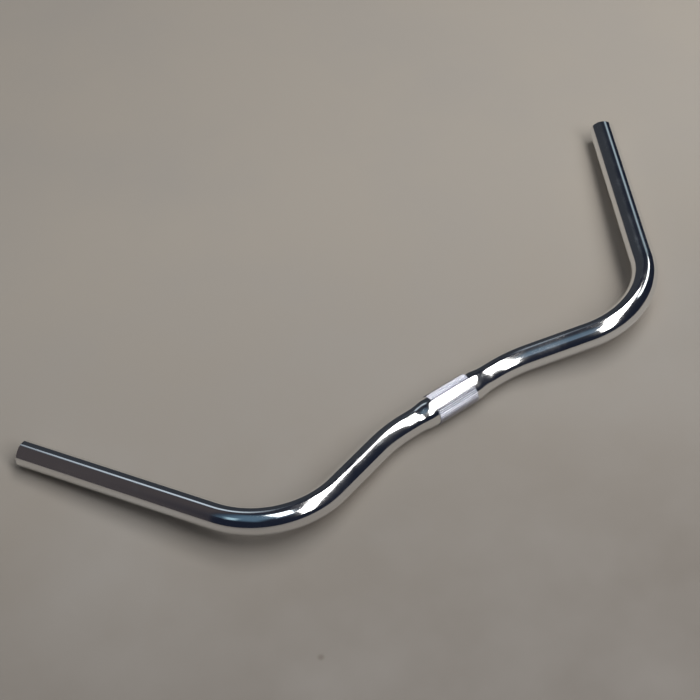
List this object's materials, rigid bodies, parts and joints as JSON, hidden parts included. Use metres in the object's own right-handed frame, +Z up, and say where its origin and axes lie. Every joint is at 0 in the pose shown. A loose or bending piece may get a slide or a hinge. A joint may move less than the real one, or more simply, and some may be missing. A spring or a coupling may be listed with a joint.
{
  "type": "swept-back bicycle handlebar",
  "caption": "Polished tubular bicycle handlebar, swollen and serrated at the stem seat, bent forward beside it and then swept back round wide corners into straight grips.",
  "frame": {"origin": "middle of the serrated stem seat, on the tube's axis", "axes": "+X to the rider's right along the stem seat, +Y forward, +Z up, with the bar lying on a floor on its stem seat and both open ends"},
  "size_m": [0.6268, 0.2111, 0.0356],
  "materials": {
    "polished_aluminium": "mirror polished"
  },
  "bodies": {
    "root": {"handlebar": "polished_aluminium"}
  },
  "joints": []
}
